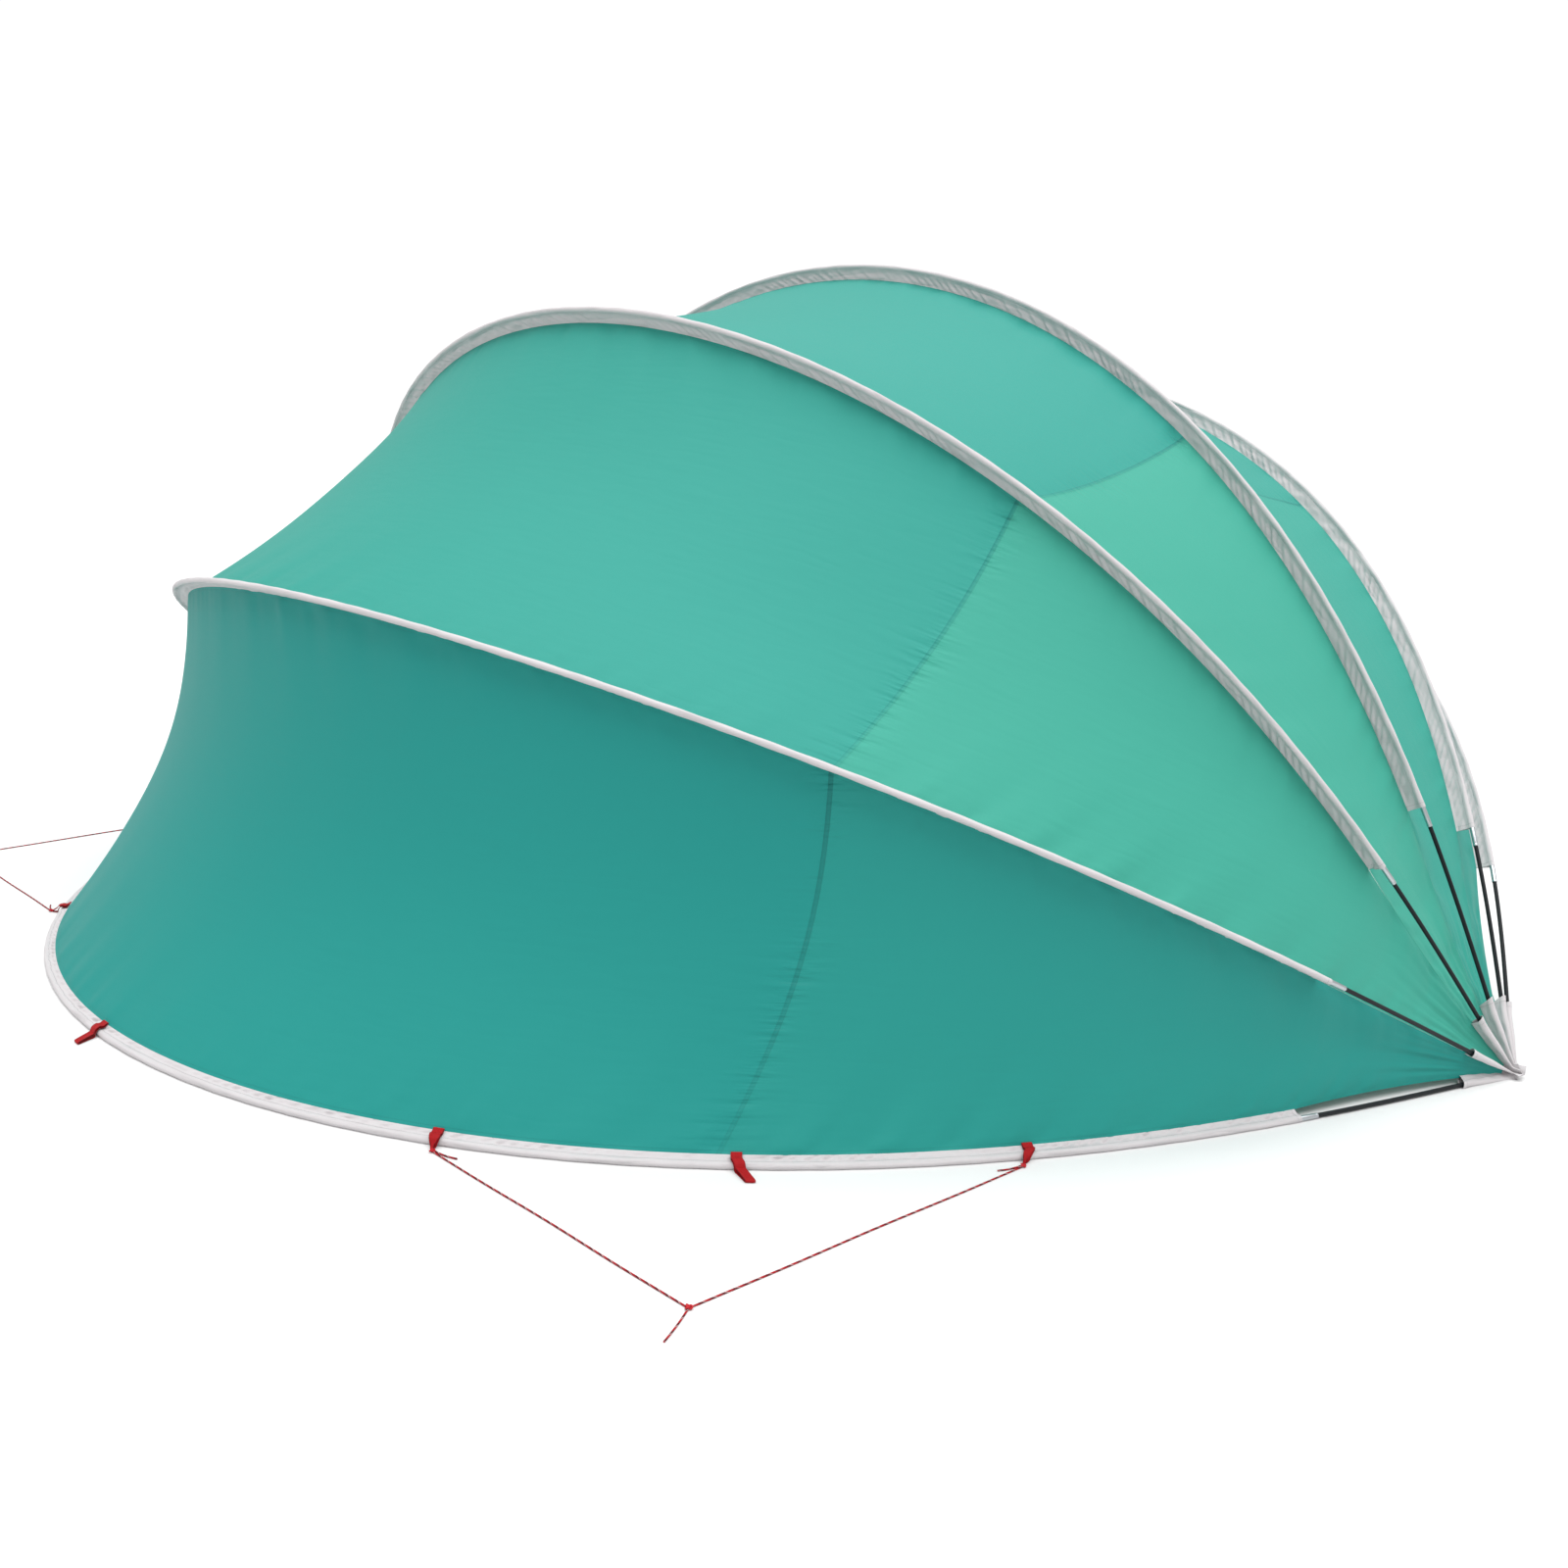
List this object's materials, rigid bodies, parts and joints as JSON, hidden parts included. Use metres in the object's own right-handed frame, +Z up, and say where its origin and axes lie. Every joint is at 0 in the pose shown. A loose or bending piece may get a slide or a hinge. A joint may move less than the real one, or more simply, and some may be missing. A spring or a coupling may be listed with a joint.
{
  "type": "fan shelter",
  "caption": "Half-dome beach shelter of cloth panels between bent poles that fan out from ground corners, open at the front, with a ground arch, peg loops and guy ropes.",
  "frame": {"origin": "middle of the shelter's footprint on the ground, midway between the ground corners across the width and midway between the front and the back", "axes": "+X across the width from corner to corner, +Y towards the closed back, -Y out of the open front, +Z up"},
  "size_m": [3.9892, 3.2944, 1.7491],
  "materials": {
    "pole": "black glass-fibre rod, slightly glossy",
    "ferrule": "bright drawn metal tube",
    "sleeve": "light grey woven polyester",
    "canopy": "sea-green coated polyester taffeta, slightly translucent",
    "webbing": "red woven webbing",
    "guy_cord": "red and white braided cord"
  },
  "bodies": {
    "ground_arch": {"pole_0": "pole", "sleeve_0": "sleeve", "ferrule_0_left": "ferrule", "ferrule_0_right": "ferrule", "pocket_0_left": "sleeve", "pocket_0_right": "sleeve", "peg_loop_1": "webbing", "peg_loop_2": "webbing", "peg_loop_3": "webbing", "peg_loop_4": "webbing", "peg_loop_5": "webbing", "peg_loop_6": "webbing", "peg_loop_7": "webbing", "guy_rope_left": "guy_cord", "guy_rope_right": "guy_cord", "guy_tail_left": "guy_cord", "guy_tail_right": "guy_cord"},
    "arch_1": {"pole_1": "pole", "sleeve_1": "sleeve", "ferrule_1_left": "ferrule", "ferrule_1_right": "ferrule", "pocket_1_left": "sleeve", "pocket_1_right": "sleeve", "panel_0_1": "canopy"},
    "arch_2": {"pole_2": "pole", "sleeve_2": "sleeve", "ferrule_2_left": "ferrule", "ferrule_2_right": "ferrule", "pocket_2_left": "sleeve", "pocket_2_right": "sleeve", "panel_1_2": "canopy"},
    "arch_3": {"pole_3": "pole", "sleeve_3": "sleeve", "ferrule_3_left": "ferrule", "ferrule_3_right": "ferrule", "pocket_3_left": "sleeve", "pocket_3_right": "sleeve", "panel_2_3": "canopy"},
    "arch_4": {"pole_4": "pole", "sleeve_4": "sleeve", "ferrule_4_left": "ferrule", "ferrule_4_right": "ferrule", "pocket_4_left": "sleeve", "pocket_4_right": "sleeve", "panel_3_4": "canopy"},
    "arch_5": {"pole_5": "pole", "sleeve_5": "sleeve", "ferrule_5_left": "ferrule", "ferrule_5_right": "ferrule", "pocket_5_left": "sleeve", "pocket_5_right": "sleeve", "panel_4_5": "canopy"}
  },
  "joints": [
    {"name": "arch_1_fold", "type": "hinge", "parent": "ground_arch", "child": "arch_1", "pos_m": [0, -0.564, 0.00572], "axis": [-1, 0, 0], "range_deg": [0, 18], "deforming": ["panel_0_1"]},
    {"name": "arch_2_fold", "type": "hinge", "parent": "arch_1", "child": "arch_2", "pos_m": [0, -0.564, 0.00572], "axis": [-1, 0, 0], "range_deg": [0, 21.5], "deforming": ["panel_1_2"]},
    {"name": "arch_3_fold", "type": "hinge", "parent": "arch_2", "child": "arch_3", "pos_m": [0, -0.564, 0.00572], "axis": [-1, 0, 0], "range_deg": [0, 23], "deforming": ["panel_2_3"]},
    {"name": "arch_4_fold", "type": "hinge", "parent": "arch_3", "child": "arch_4", "pos_m": [0, -0.564, 0.00572], "axis": [-1, 0, 0], "range_deg": [0, 22], "deforming": ["panel_3_4"]},
    {"name": "arch_5_fold", "type": "hinge", "parent": "arch_4", "child": "arch_5", "pos_m": [0, -0.564, 0.00572], "axis": [-1, 0, 0], "range_deg": [0, 7], "deforming": ["panel_4_5"]}
  ]
}
